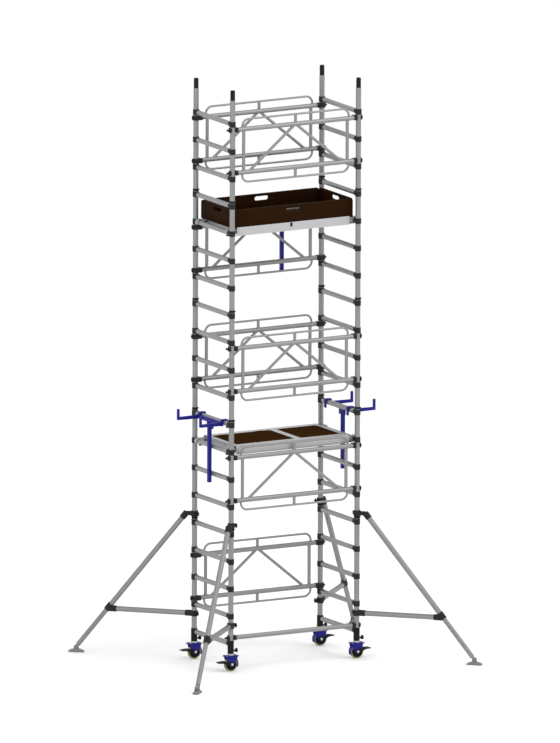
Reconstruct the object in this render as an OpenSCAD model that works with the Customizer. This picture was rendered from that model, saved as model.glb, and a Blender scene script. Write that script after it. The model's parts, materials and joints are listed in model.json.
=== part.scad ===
// Mobile tower scaffold: two stacks of ladder end frames, seven brace frames, a base brace,
// two trapdoor platforms with a toe board set, three hook-on cradle brackets, four braked
// swivel casters and four telescopic stabilisers.
// Origin: centre of the footprint, on the floor. +X runs along the bay, +Y across it, +Z up.

/* [Bay] */
// Distance along X between upright centres
bay_l = 1295; // [1100:5:2500]
// Distance along Y between upright centres
bay_w = 672; // [640:2:1450]
// Rung pitch up the ladder frames
pitch = 250; // [240:5:300]

/* [Tubes] */
// Outer diameter of the upright tubes
upright_d = 48; // [42:1:52]
// Wall of the upright tubes
upright_wall = 2; // [1.5:0.5:4]
// Outer diameter of the rungs
rung_d = 44; // [34:1:46]
// Wall of the rungs
rung_wall = 2; // [1.5:0.5:4]
// Outer diameter of the brace rails
rail_d = 42; // [36:1:46]
// Outer diameter of the brace verticals
post_d = 30; // [24:1:34]
// Outer diameter of the brace diagonals
diag_d = 26; // [20:1:28]
// Outer diameter of the bent guard bows
bow_d = 19; // [12:1:22]
// Wall of the brace tubes
brace_wall = 2; // [1.5:0.5:3]

/* [End frames] */
// Number of rungs at each end
rung_count = 20; // [18:1:20]
// Height of the casting that grips each rung end
socket_h = 50; // [40:1:60]
// Wall of that casting round the upright
socket_wall = 4.5; // [3.5:0.5:8]
// Length of the boss that the rung enters, from the upright's axis
boss_reach = 44; // [40:1:50]
// Height of a frame joint above the rung below it
joint_rise = 40; // [35:1:45]
// Half length of a joint spigot, each way from the joint
spigot_half = 100; // [60:5:120]
// Height of the interlock ring round each joint
ring_h = 21; // [16:1:24]
// Length of the open spigot above the top of the uprights
top_spigot = 90; // [60:5:120]
// Height of the top of the upright tubes above the last rung
top_rise = 220; // [150:5:240]

/* [Braces] */
// Distance from a rung to the nearest brace rail
rail_gap = 53; // [50:1:58]
// Distance from an upright's axis to the end of a rail
rail_end = 52; // [50:1:60]
// Distance from an upright's axis to a brace vertical
post_in = 115; // [105:1:140]
// Distance from a brace vertical to the foot of a diagonal
diag_in = 50; // [40:1:80]
// Distance from a rail to the straight of its guard bow
bow_rise = 90; // [80:1:110]
// Bend radius of a guard bow
bow_r = 65; // [50:1:70]
// Distance from an upright's axis to the foot of a guard bow
bow_in = 100; // [90:1:130]
// Diameter of the short struts between rail and bow
strut_d = 27; // [20:1:30]
// Height of a brace hook casting
hook_h = 42; // [36:1:46]
// Reach of the long catch tips, on the left hooks of the front braces, from the upright's axis
catch_long = 57; // [50:1:64]
// Reach of every other catch tip
catch_short = 45; // [42:1:50]

/* [Platforms] */
// Width of a platform
deck_w = 604; // [560:2:620]
// Height of the deck surface above its rungs
deck_rise = 44; // [40:1:48]
// Depth of a platform side beam
beam_h = 78; // [70:1:84]
// Width of a side beam's top flange
flange_w = 72; // [60:1:80]
// Gap from a rung's axis to the end of the platform beams
beam_end = 70; // [66:1:80]
// Thickness of the plywood
ply_t = 12; // [9:1:15]
// Width of the strip between trapdoor and fixed panel
strip_w = 65; // [50:1:80]
// Where the middle of that strip lies along the platform
strip_x = 95; // [0:5:150]
// Width of the two end members of the platform frame
end_w = 42; // [36:1:60]
// Distance from a platform's side to the middle of its hooks
hook_in = 32; // [27:1:52]

/* [Toe boards] */
// Height of a toe board
toe_h = 160; // [150:5:180]
// Thickness of a toe board
toe_t = 18; // [12:1:20]
// Length of the hand slots
slot_l = 142; // [100:2:160]
// Height of the hand slots
slot_h = 38; // [30:1:45]

/* [Cradle brackets] */
// Reach of the bracket arms, from the rung's axis
arm_reach = 256; // [200:4:300]
// Height of the upturned arm tips above the underside of the arms
tip_h = 100; // [60:5:120]
// Length of the bracket leg below the second rung under its hooks
leg_tail = 76; // [40:4:100]
// Distance of each hook from the middle of the bracket
bracket_half = 205; // [180:5:220]
// Size of the square section arms
arm_s = 20; // [16:1:24]
// Size of the square section leg
leg_s = 30; // [24:1:34]

/* [Casters] */
// Wheel diameter
wheel_d = 128; // [110:1:130]
// Width of the tyre
wheel_w = 32; // [28:1:36]

/* [Stabilisers] */
// Height of the upper clamp above the lowest frame joint
clamp_over_joint = 37; // [36:1:45]
// Height of the lower clamp above the first rung
clamp_over_rung = 165; // [162:1:170]
// Distance from the upright's axis to the leg's upper pin
pin_r = 80; // [76:1:90]
// Distance from the upright's axis to the foot
foot_r = 1100; // [1000:10:1250]
// Height of the leg's axis above the strut's axis, where the strut ends
strut_drop = 15.5; // [10:0.5:20]
// Outer diameter of the leg and the strut
leg_d = 48; // [38:1:50]
// Wall of the leg and the strut
leg_wall = 2; // [2:0.5:4.5]
// Wall of the sliding extension
ext_wall = 2; // [2:0.5:4]

/* [Hidden] */
$fn = 48;

// Clearance of a loose fit, and the paper gap between pieces that touch without sharing metal
fit = 0.3;
snug = 0.1;
hx = bay_l / 2;
hy = bay_w / 2;
up_r = upright_d / 2;
bore_r = up_r - upright_wall;
rung_r = rung_d / 2;
rail_r = rail_d / 2;
socket_d = upright_d + 2 * socket_wall;

// Corners in order: front left, front right, back right, back left, each with its signs
CORNERS = [[-1, -1], [1, -1], [1, 1], [-1, 1]];

// Frame joints, counted in rungs from the floor
JOINT_RUNGS = [5, 9, 13, 17];
JOINTS = [for (n = JOINT_RUNGS) n * pitch + joint_rise];
stem_top = 161;
upright_top = rung_count * pitch + top_rise;
CUTS = concat([stem_top], JOINTS, [upright_top]);

// Braces: the rung below the lower rail, for each brace frame up each side
FRONT_BRACES = [6, 10, 18];
BACK_BRACES = [2, 10, 14, 18];
LOWER_DECK = 8;
UPPER_DECK = 16;

module at_corner(i) translate([CORNERS[i][0] * hx, CORNERS[i][1] * hy, 0]) children();

module all_corners() for (i = [0:3]) at_corner(i) children();

module tube(l, d, wall) difference() {
  cylinder(h = l, d = d);
  translate([0, 0, -1]) cylinder(h = l + 2, d = d - 2 * wall);
}

module along_x(x0, x1) translate([x0, 0, 0]) rotate([0, 90, 0]) children();

module x_rod(x0, x1, d) translate([x0, 0, 0]) rotate([0, 90, 0]) cylinder(h = x1 - x0, d = d);

// ---- end frames ----

module uprights() color("darkgray") all_corners()
  for (k = [0:len(CUTS) - 2]) translate([0, 0, CUTS[k] + snug])
    tube(CUTS[k + 1] - CUTS[k] - snug, upright_d, upright_wall);

rung_start = up_r + 6;
module rungs() color("silver")
  for (s = [-1, 1], n = [1:rung_count])
    translate([s * hx, -hy + rung_start, n * pitch]) rotate([-90, 0, 0])
      tube(bay_w - 2 * rung_start, rung_d, rung_wall);

// Casting round an upright with the boss that takes one rung; towards = +1 faces +Y
module rung_casting(h, drop, towards) difference() {
  union() {
    translate([0, 0, -drop]) cylinder(h = h, d = socket_d);
    rotate([-90 * towards, 0, 0]) cylinder(h = boss_reach, d = rung_d + 7);
  }
  translate([0, 0, -drop - 1]) cylinder(h = h + 2, r = up_r + snug);
  rotate([-90 * towards, 0, 0]) translate([0, 0, rung_start - snug])
    cylinder(h = boss_reach, r = rung_r + snug);
}

module rung_sockets() color("dimgray")
  for (c = CORNERS, n = [2:rung_count])
    translate([c[0] * hx, c[1] * hy, n * pitch])
      rung_casting(socket_h, socket_h / 2, -c[1]);

base_socket_top = pitch + 30;
module base_sockets() color("black")
  for (c = CORNERS)
    translate([c[0] * hx, c[1] * hy, pitch])
      rung_casting(base_socket_top - stem_top - fit, pitch - stem_top - fit, -c[1]);

spigot_lead = 6;
spigot_fit = 0.5;
module joint_spigots() color("black") {
  spigot_d = 2 * (bore_r - snug);
  open_d = 2 * (bore_r - spigot_fit);
  all_corners() {
    for (z = JOINTS) translate([0, 0, z - spigot_half]) tube(2 * spigot_half, spigot_d, 3);
    translate([0, 0, upright_top - spigot_half]) cylinder(h = spigot_half, d = spigot_d);
    translate([0, 0, upright_top]) {
      cylinder(h = top_spigot - spigot_lead, d = open_d);
      translate([0, 0, top_spigot - spigot_lead])
        cylinder(h = spigot_lead, d1 = open_d, d2 = open_d - 8);
    }
  }
}

// Ring round a frame joint, with the spring clip's tongue
module lock_rings() color("black")
  for (c = CORNERS, z = JOINTS)
    translate([c[0] * hx, c[1] * hy, z - ring_h / 2]) difference() {
      union() {
        cylinder(h = ring_h, d = upright_d + 6);
        translate([up_r, -6, 3]) cube([11, 12, 12]);
      }
      translate([0, 0, -1]) cylinder(h = ring_h + 2, r = up_r + snug);
    }

// ---- casters ----

plate_top = 144;
module caster_stems() color("silver") all_corners() {
  translate([0, 0, plate_top + fit]) cylinder(h = stem_top - plate_top - fit, d = socket_d + 3);
  translate([0, 0, stem_top]) cylinder(h = 240, r = bore_r - snug);
}

module stem_locks() color("black") all_corners()
  translate([socket_d / 2 + fit, -6, 178]) linear_extrude(14) union() {
    translate([0, -3, 0]) square([32, 14]);
    translate([32, 4, 0]) circle(d = 14);
  }

hub_z = wheel_d / 2;
plate_t = 9;
plate_l = 138;
plate_w = 80;
axle_d = 12;
cheek_in = wheel_w / 2 + 3;
cheek_t = 5;
arm_in = cheek_in + cheek_t + fit;
hood_gap = 4;

// Everything of one caster is drawn with its pedal towards +X, then turned to face outwards
module place_caster(i) at_corner(i) rotate([0, 0, CORNERS[i][0] < 0 ? 180 : 0]) children();

// Lays a flat XY shape up in the XZ plane, centred on the axle, t thick
module upright_plate(y, t) translate([0, y + t, 0]) rotate([90, 0, 0]) linear_extrude(t) children();

cheek_top = plate_top - plate_t - snug;
module cheek_shape() difference() {
  union() {
    polygon([[-58, cheek_top], [58, cheek_top], [18, hub_z], [-18, hub_z]]);
    translate([0, hub_z]) circle(d = 36);
  }
  translate([0, hub_z]) circle(d = axle_d + 2 * snug);
}

module hood_shape() intersection() {
  translate([0, hub_z]) difference() {
    circle(r = wheel_d / 2 + hood_gap + 4);
    circle(r = wheel_d / 2 + hood_gap);
  }
  translate([-100, hub_z - 18]) square([70, cheek_top - hub_z + 18]);
}

module caster_fork(i) color("mediumblue") place_caster(i) {
  translate([0, 0, plate_top - plate_t]) difference() {
    translate([-plate_l / 2, -plate_w / 2, 0]) cube([plate_l, plate_w, plate_t]);
    translate([0, 0, -1]) cylinder(h = plate_t + 2, d = 16);
    for (a = [-1, 1], b = [-1, 1]) translate([a * plate_l / 2, b * plate_w / 2, -1])
      rotate([0, 0, 45]) cube([18, 18, 3 * plate_t], center = true);
  }
  upright_plate(cheek_in, cheek_t) cheek_shape();
  upright_plate(-cheek_in - cheek_t, cheek_t) cheek_shape();
  upright_plate(-cheek_in + snug, 2 * (cheek_in - snug)) hood_shape();
  translate([0, arm_in + 12, hub_z]) rotate([90, 0, 0])
    cylinder(h = 2 * arm_in + 24, d = axle_d);
}

module caster_wheel(i) color("tan") place_caster(i) translate([0, 0, hub_z]) rotate([90, 0, 0]) {
  tread_r = wheel_d / 2;
  core_r = tread_r - 14;
  rotate_extrude() polygon([
    [core_r, -wheel_w / 2], [tread_r - 5, -wheel_w / 2], [tread_r, -wheel_w / 2 + 6],
    [tread_r, wheel_w / 2 - 6], [tread_r - 5, wheel_w / 2], [core_r, wheel_w / 2]
  ]);
  difference() {
    union() {
      translate([0, 0, -wheel_w / 2 + 4]) cylinder(h = wheel_w - 8, r = core_r - snug);
      translate([0, 0, -cheek_in + fit]) cylinder(h = 2 * (cheek_in - fit), d = 30);
    }
    translate([0, 0, -wheel_w]) cylinder(h = 2 * wheel_w, d = axle_d + 2 * fit);
  }
}

pedal_tip = 138;
pedal_t = 5;
tread_x = 76;
module pedal_arm() difference() {
  union() {
    translate([0, hub_z]) circle(d = 46);
    polygon([[6, hub_z + 22], [tread_x, hub_z + 30], [tread_x, hub_z + 12], [6, hub_z - 22]]);
  }
  translate([0, hub_z]) circle(d = axle_d + 2 * fit);
}

module caster_pedal(i) color("black") place_caster(i) {
  upright_plate(arm_in, pedal_t) pedal_arm();
  upright_plate(-arm_in - pedal_t, pedal_t) pedal_arm();
  upright_plate(-arm_in - pedal_t, 2 * (arm_in + pedal_t)) polygon([
    [tread_x + snug, hub_z + 12], [tread_x + snug, hub_z + 30], [100, hub_z + 28],
    [pedal_tip, hub_z + 24], [pedal_tip, hub_z + 18], [100, hub_z + 16]
  ]);
}

module caster_1_fork() caster_fork(0);
module caster_2_fork() caster_fork(1);
module caster_3_fork() caster_fork(2);
module caster_4_fork() caster_fork(3);
module caster_1_wheel() caster_wheel(0);
module caster_2_wheel() caster_wheel(1);
module caster_3_wheel() caster_wheel(2);
module caster_4_wheel() caster_wheel(3);
module caster_1_pedal() caster_pedal(0);
module caster_2_pedal() caster_pedal(1);
module caster_3_pedal() caster_pedal(2);
module caster_4_pedal() caster_pedal(3);

// ---- braces ----

rail_half = hx - rail_end;

module rail(z) translate([0, 0, z]) along_x(-rail_half, rail_half)
  tube(2 * rail_half, rail_d, brace_wall);

module rail_cuts(z0, z1) for (z = [z0, z1])
  translate([0, 0, z]) x_rod(-rail_half, rail_half, rail_d + 0.02);

// Guard bow on a rail at the origin, standing up; foot, bend, straight, bend and foot
module bow() {
  foot_x = hx - bow_in;
  for (m = [0, 1]) mirror([m, 0, 0]) difference() {
    union() {
      translate([foot_x, 0, 0]) cylinder(h = bow_rise - bow_r, d = bow_d);
      translate([foot_x - bow_r, 0, bow_rise - bow_r]) rotate([90, 0, 0])
        rotate_extrude(angle = 90) translate([bow_r, 0]) circle(d = bow_d);
    }
    x_rod(-rail_half, rail_half, rail_d + 0.02);
  }
  translate([0, 0, bow_rise]) x_rod(bow_r - foot_x + snug, foot_x - bow_r - snug, bow_d);
  difference() {
    cylinder(h = bow_rise - 3, d = strut_d);
    x_rod(-strut_d, strut_d, rail_d + 0.02);
    translate([0, 0, bow_rise]) x_rod(-strut_d, strut_d, bow_d + 0.02);
  }
}

// Brace frame between rung n and rung n + 2; side is -1 in front, +1 behind
module brace_frame(side, n) color("gainsboro") translate([0, side * hy, 0]) {
  z0 = n * pitch + rail_gap;
  z1 = (n + 2) * pitch - rail_gap;
  post_x = hx - post_in;
  diag_x = post_x - diag_in;
  lean = atan2(diag_x, z1 - z0);
  rail(z0);
  rail(z1);
  for (m = [-1, 1]) difference() {
    translate([m * post_x, 0, z0]) tube(z1 - z0, post_d, brace_wall);
    rail_cuts(z0, z1);
  }
  for (m = [-1, 1]) difference() {
    translate([m * diag_x, 0, z0]) rotate([0, -m * lean, 0])
      tube(norm([diag_x, z1 - z0]), diag_d, brace_wall);
    rail_cuts(z0, z1);
  }
  translate([0, 0, z1]) bow();
  translate([0, 0, z0]) mirror([0, 0, 1]) bow();
}

module front_brace_1() brace_frame(-1, FRONT_BRACES[0]);
module front_brace_2() brace_frame(-1, FRONT_BRACES[1]);
module front_brace_3() brace_frame(-1, FRONT_BRACES[2]);
module back_brace_1() brace_frame(1, BACK_BRACES[0]);
module back_brace_2() brace_frame(1, BACK_BRACES[1]);
module back_brace_3() brace_frame(1, BACK_BRACES[2]);
module back_brace_4() brace_frame(1, BACK_BRACES[3]);

base_brace_z = pitch + rail_gap;
module base_brace() color("gainsboro") translate([0, -hy, 0]) rail(base_brace_z);

// Every place a rail meets an upright: side, end and height
function brace_heights(list) =
  [for (n = list) for (z = [n * pitch + rail_gap, (n + 2) * pitch - rail_gap]) z];
HOOKS = concat(
  [for (e = [-1, 1], z = concat([base_brace_z], brace_heights(FRONT_BRACES))) [-1, e, z]],
  [for (e = [-1, 1], z = brace_heights(BACK_BRACES)) [1, e, z]]
);

// Local frame of a hook: +X away from the brace, +Y into the tower, origin on the upright's axis
module at_hook(h) translate([h[1] * hx, h[0] * hy, h[2]])
  mirror([h[1] < 0 ? 1 : 0, 0, 0]) mirror([0, h[0] > 0 ? 1 : 0, 0]) children();

jaw_r = up_r + 12;
module brace_hooks() color("dimgray") for (h = HOOKS) at_hook(h) {
  translate([0, 0, -hook_h / 2]) linear_extrude(hook_h) difference() {
    union() {
      circle(r = jaw_r);
      translate([-rail_end + snug, -rail_r]) square([rail_end - snug, rail_r + jaw_r]);
    }
    circle(r = up_r + snug);
    translate([-up_r - snug, -2 * jaw_r]) square([2 * (up_r + snug), 2 * jaw_r - 10]);
  }
  x_rod(-rail_end - 30, -rail_end, rail_d - 2 * brace_wall - 2 * snug);
}

// Pointed catch that closes each hook's mouth
module brace_catch(tip) translate([0, 0, -8]) linear_extrude(16)
  polygon([[jaw_r + fit, 26], [tip, 12], [tip, 5], [jaw_r + fit, -16]]);

module brace_catches() color("black") for (h = HOOKS)
  at_hook(h) brace_catch(h[0] < 0 && h[1] < 0 ? catch_long : catch_short);

// ---- platforms ----

beam_half = hx - beam_end;
ledge = 18;
ply_half = deck_w / 2 - flange_w - 1;
panel_x0 = -beam_half + end_w;
panel_x1 = beam_half - end_w;

// Cross-section of the front side beam: web, top flange, ply ledge and bottom lip
module beam_shape() {
  top = deck_rise;
  edge = -deck_w / 2;
  polygon([
    [edge, top], [edge + flange_w, top], [edge + flange_w, top - ply_t - fit],
    [edge + flange_w + ledge, top - ply_t - fit], [edge + flange_w + ledge, top - ply_t - 3],
    [edge + flange_w - 3, top - ply_t - 3], [edge + flange_w - 3, top - 3], [edge + 4, top - 3],
    [edge + 4, top - beam_h + 4], [edge + 25, top - beam_h + 4], [edge + 25, top - beam_h],
    [edge, top - beam_h]
  ]);
}

module side_beams() for (m = [0, 1]) mirror([0, m, 0])
  translate([-beam_half, 0, 0]) rotate([90, 0, 90]) linear_extrude(2 * beam_half) beam_shape();

// Cross member between the side beams, with lips that carry the ply on each side
inset = 4;
module cross_member(x0, w, lip0, lip1) {
  plate_half = deck_w / 2 - flange_w - snug;
  lip_half = plate_half - ledge;
  web_half = deck_w / 2 - 4 - snug;
  ply_z = deck_rise - ply_t;
  union() {
    translate([x0, -plate_half, ply_z]) cube([w, 2 * plate_half, ply_t]);
    translate([x0 - lip0, -lip_half, ply_z - 3]) cube([w + lip0 + lip1, 2 * lip_half, 3 - fit]);
    translate([x0 + inset, -lip_half, ply_z - 20]) cube([w - 2 * inset, 2 * lip_half, 21]);
    translate([x0 + inset, -web_half, deck_rise - 60])
      cube([w - 2 * inset, 2 * web_half, 60 - ply_t - 3 - snug]);
  }
}

module platform_frame(n) color("silver") translate([0, 0, n * pitch]) {
  side_beams();
  cross_member(-beam_half, end_w, 0, ledge);
  cross_member(strip_x - strip_w / 2, strip_w, ledge, ledge);
  cross_member(beam_half - end_w, end_w, ledge, 0);
}

module ply(n, x0, x1) translate([x0 + 1, -ply_half, n * pitch + deck_rise - ply_t])
  cube([x1 - x0 - 2, 2 * ply_half, ply_t]);

module deck_panel(n) color([0.2, 0.12, 0.08]) ply(n, strip_x + strip_w / 2, panel_x1);
module trapdoor(n) color([0.2, 0.12, 0.08]) ply(n, panel_x0, strip_x - strip_w / 2);

module lower_platform_frame() platform_frame(LOWER_DECK);
module upper_platform_frame() platform_frame(UPPER_DECK);
module lower_deck_panel() deck_panel(LOWER_DECK);
module upper_deck_panel() deck_panel(UPPER_DECK);
module lower_trapdoor() trapdoor(LOWER_DECK);
module upper_trapdoor() trapdoor(UPPER_DECK);

// Hinges along the back edge of each trapdoor, leaf screwed to the flange
hinge_y = deck_w / 2 - flange_w - 0.5;
hinge_up = 3.4;
hinge_l = 70;
module trapdoor_hinges() color("silver")
  for (n = [LOWER_DECK, UPPER_DECK], t = [0.2, 0.8]) {
    x = panel_x0 + t * (strip_x - strip_w / 2 - panel_x0) - hinge_l / 2;
    translate([x, hinge_y, n * pitch + deck_rise]) union() {
      translate([0, 0, hinge_up]) x_rod(0, hinge_l, 6);
      translate([0, 0.5, 0]) cube([hinge_l, 26, 2.2]);
    }
  }

// Local frame of a platform hook: +X outwards over the rung, origin on the rung's axis
module at_platform_hooks() for (n = [LOWER_DECK, UPPER_DECK], e = [-1, 1], s = [-1, 1])
  translate([e * hx, s * (deck_w / 2 - hook_in), n * pitch])
    mirror([e < 0 ? 1 : 0, 0, 0]) mirror([0, s < 0 ? 1 : 0, 0]) children();

hook_w = 34;
hook_r = rung_r + 12;
root = beam_end + inset - snug;
module platform_hooks() color("lightgray") at_platform_hooks()
  upright_plate(-hook_w / 2, hook_w) difference() {
    union() {
      circle(r = hook_r);
      translate([-root, -20]) square([root, 20 + hook_r - 4]);
    }
    circle(r = rung_r + snug);
    translate([-rung_r - snug, -60]) square([2 * (rung_r + snug), 60]);
    translate([0, -60]) square([60, 46]);
  }

// Wind locks: levers beside the hooks that pass under the rungs
lock_w = 12;
module wind_locks() color("black") at_platform_hooks()
  upright_plate(-hook_w / 2 - fit - lock_w, lock_w) polygon([
    [-62, -38], [4, -38], [14, -31], [4, -24.5], [-42, -24.5], [-42, 12], [-62, 12]
  ]);

rivet_d = 12;
module platform_rivets() color("silver")
  for (n = [LOWER_DECK, UPPER_DECK], s = [-1, 1], dz = [-42, -20])
    for (x = [12 - beam_half, 28 - beam_half, strip_x - 12, strip_x + 12,
              beam_half - 28, beam_half - 12])
      translate([x, s * deck_w / 2, n * pitch + deck_rise + dz]) rotate([-90 * s, 0, 0]) {
        cylinder(h = 1.5, d = rivet_d);
        translate([0, 0, 1.5]) cylinder(h = 1.5, d1 = rivet_d, d2 = rivet_d - 6);
      }

// ---- toe boards ----

corner_r = 30;
module toe_board(l, h) difference() {
  union() {
    translate([-l / 2, 0]) square([l, h - corner_r]);
    translate([corner_r - l / 2, 0]) square([l - 2 * corner_r, h]);
    for (m = [-1, 1]) translate([m * (l / 2 - corner_r), h - corner_r]) circle(r = corner_r);
  }
  translate([0, h - 43]) {
    square([slot_l - slot_h, slot_h], center = true);
    for (m = [-1, 1]) translate([m * (slot_l - slot_h) / 2, 0]) circle(d = slot_h);
  }
}

toe_end_x = beam_half + 19;
module toe_boards() color([0.2, 0.12, 0.08]) translate([0, 0, UPPER_DECK * pitch]) {
  for (s = [-1, 1]) translate([0, s * (deck_w / 2 - 3 - toe_t / 2), deck_rise])
    upright_plate(-toe_t / 2, toe_t) toe_board(2 * (toe_end_x - fit), toe_h);
  seat = hook_r + fit;
  for (e = [-1, 1]) translate([e * (toe_end_x + toe_t / 2), 0, seat]) rotate([0, 0, 90])
    upright_plate(-toe_t / 2, toe_t) toe_board(deck_w - 4, toe_h + deck_rise - seat);
}

// ---- cradle brackets ----

hang = max(rung_r, rail_r) + 0.5;
strap = 8;
bar_z = -35;
leg_drop = 2 * pitch + leg_tail;

// Hangs on a tube at the origin that lies along Y; its arms point along +X
module bracket() color("mediumblue") {
  bar_half = bracket_half + 25;
  translate([hang, -bar_half, bar_z]) cube([arm_s, 2 * bar_half, arm_s]);
  translate([hang, -leg_s / 2, -leg_drop]) cube([leg_s, leg_s, leg_drop + bar_z - snug]);
  for (s = [-1, 1]) translate([0, s * bracket_half, 0]) {
    translate([hang + arm_s + snug, -arm_s / 2, bar_z])
      cube([arm_reach - hang - 2 * arm_s - 2 * snug, arm_s, arm_s]);
    translate([arm_reach - arm_s, -arm_s / 2, bar_z]) cube([arm_s, arm_s, tip_h]);
    translate([0, -15, 0]) {
      translate([hang, 0, bar_z + arm_s + snug])
        cube([strap, 30, hang - bar_z - arm_s - 2 * snug]);
      translate([-hang - strap, 0, hang]) cube([2 * (hang + strap), 30, strap]);
      translate([-hang - strap, 0, -50]) cube([strap, 30, 50 + hang - snug]);
    }
  }
}

BRACKET_RUNG = 9;
back_bracket_x = 260;
back_bow_z = (BACK_BRACES[2] + 2) * pitch - rail_gap + bow_rise;
module right_bracket() translate([hx, 0, BRACKET_RUNG * pitch]) bracket();
module left_bracket() mirror([1, 0, 0]) right_bracket();
module back_bracket()
  translate([back_bracket_x, hy, back_bow_z + bow_d / 2 + fit - hang]) rotate([0, 0, 90]) bracket();

// ---- stabilisers ----

// Drawn with the leg towards +X from the upright's axis
module place_stabiliser(i) at_corner(i)
  rotate([0, 0, atan2(CORNERS[i][1], CORNERS[i][0])]) children();

leg_r = leg_d / 2;
leg_bore = leg_d - 2 * leg_wall;
ext_d = leg_bore - 1;
clamp_hi = JOINTS[0] + clamp_over_joint;
clamp_lo = pitch + clamp_over_rung;
foot_pin_z = 48;
foot_pin_d = 12;
eye_d = 30;
leg_run = foot_r - pin_r;
leg_fall = clamp_hi - foot_pin_z;
leg_len = norm([leg_run, leg_fall]);
leg_lean = atan2(leg_run, -leg_fall);
mid_fall = clamp_hi - clamp_lo - strut_drop;
mid_s = leg_len * mid_fall / leg_fall;
mid_r = pin_r + leg_run * mid_fall / leg_fall;

// Axis of the leg: +Z runs from the upper pin down to the foot
module along_leg(s) translate([pin_r, 0, clamp_hi]) rotate([0, leg_lean, 0])
  translate([0, 0, s]) children();

clamp_r = up_r + 9;
module clamp_collar(z) translate([0, 0, z - 25]) cylinder(h = 50, r = clamp_r);
module clamp_bore(z) translate([0, 0, z - 30]) cylinder(h = 60, r = up_r + fit);

// Wing screw on the tower side of a clamp
module wing_screw(z) translate([0, 0, z]) {
  x_rod(-clamp_r - 16, -clamp_r - snug, 12);
  translate([-clamp_r - 26, -4, -20]) cube([10 - snug, 8, 40]);
}

sleeve_r = leg_r + 5;
module stabiliser_clamps(i) color("black") place_stabiliser(i) {
  difference() {
    union() {
      clamp_collar(clamp_hi);
      translate([0, 0, clamp_hi]) x_rod(0, pin_r, 40);
      along_leg(-8) cylinder(h = 62, r = sleeve_r);
    }
    clamp_bore(clamp_hi);
    along_leg(12) cylinder(h = 100, r = leg_r + snug);
  }
  difference() {
    union() {
      clamp_collar(clamp_lo);
      translate([0, 0, clamp_lo]) x_rod(0, 82, leg_d + 8);
    }
    clamp_bore(clamp_lo);
    translate([0, 0, clamp_lo]) x_rod(48, 100, leg_d + 2 * snug);
  }
  difference() {
    union() {
      along_leg(mid_s - 34) cylinder(h = 68, r = sleeve_r);
      translate([0, 0, clamp_lo]) x_rod(mid_r - 72, mid_r, leg_d + 8);
    }
    along_leg(mid_s - 60) cylinder(h = 120, r = leg_r + snug);
    translate([0, 0, clamp_lo]) x_rod(mid_r - 120, mid_r - 42, leg_d + 2 * snug);
  }
  wing_screw(clamp_hi);
  wing_screw(clamp_lo);
}

module stabiliser_tubes(i) color("silver") place_stabiliser(i) {
  along_leg(12 + snug) tube(mid_s + 40 - 12, leg_d, leg_wall);
  translate([0, 0, clamp_lo]) along_x(48 + snug, 0)
    tube(mid_r - 42 - 48 - 2 * snug, leg_d, leg_wall);
}

ext_lap = 380;
ext_short = 34;
plug_t = 6;
module stabiliser_extension(i) color("gainsboro") place_stabiliser(i) {
  difference() {
    along_leg(mid_s - ext_lap) tube(leg_len - ext_short - mid_s + ext_lap, ext_d, ext_wall);
    for (k = [0:5]) along_leg(mid_s + 70 + k * 50) rotate([90, 0, 0])
      cylinder(h = 60, d = 9, center = true);
  }
  difference() {
    union() {
      along_leg(leg_len - ext_short + snug) cylinder(h = plug_t, d = ext_d);
      along_leg(leg_len - ext_short + snug) cylinder(h = eye_d, d = eye_d);
      translate([foot_r, 0, foot_pin_z]) rotate([90, 0, 0])
        cylinder(h = 30, d = eye_d, center = true);
    }
    translate([foot_r, 0, foot_pin_z]) rotate([90, 0, 0])
      cylinder(h = 60, d = foot_pin_d + 2 * fit, center = true);
  }
}

foot_l = 140;
foot_w = 50;
module stabiliser_foot(i) color("dimgray") place_stabiliser(i) translate([foot_r, 0, 0]) {
  translate([-foot_l / 2, -foot_w / 2, 0]) cube([foot_l, foot_w, 10]);
  upright_plate(-foot_w / 2, foot_w) polygon([
    [-foot_l / 2 + 4, 10 + snug], [foot_l / 2 - 4, 10 + snug], [foot_l / 2 - 8, 16],
    [30, 26], [-30, 26], [-foot_l / 2 + 8, 16]
  ]);
  for (s = [-1, 1]) upright_plate(s * 18.5 - 2.5, 5) difference() {
    union() {
      translate([-18, 26 + snug]) square([36, foot_pin_z - 26]);
      translate([0, foot_pin_z]) circle(r = 18);
    }
    translate([0, foot_pin_z]) circle(d = foot_pin_d + 2 * snug);
  }
  translate([0, 0, foot_pin_z]) rotate([90, 0, 0]) cylinder(h = 44, d = foot_pin_d, center = true);
}

module stabiliser_1_clamps() stabiliser_clamps(0);
module stabiliser_1_tubes() stabiliser_tubes(0);
module stabiliser_1_extension() stabiliser_extension(0);
module stabiliser_1_foot() stabiliser_foot(0);
module stabiliser_2_clamps() stabiliser_clamps(1);
module stabiliser_2_tubes() stabiliser_tubes(1);
module stabiliser_2_extension() stabiliser_extension(1);
module stabiliser_2_foot() stabiliser_foot(1);
module stabiliser_3_clamps() stabiliser_clamps(2);
module stabiliser_3_tubes() stabiliser_tubes(2);
module stabiliser_3_extension() stabiliser_extension(2);
module stabiliser_3_foot() stabiliser_foot(2);
module stabiliser_4_clamps() stabiliser_clamps(3);
module stabiliser_4_tubes() stabiliser_tubes(3);
module stabiliser_4_extension() stabiliser_extension(3);
module stabiliser_4_foot() stabiliser_foot(3);

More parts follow.
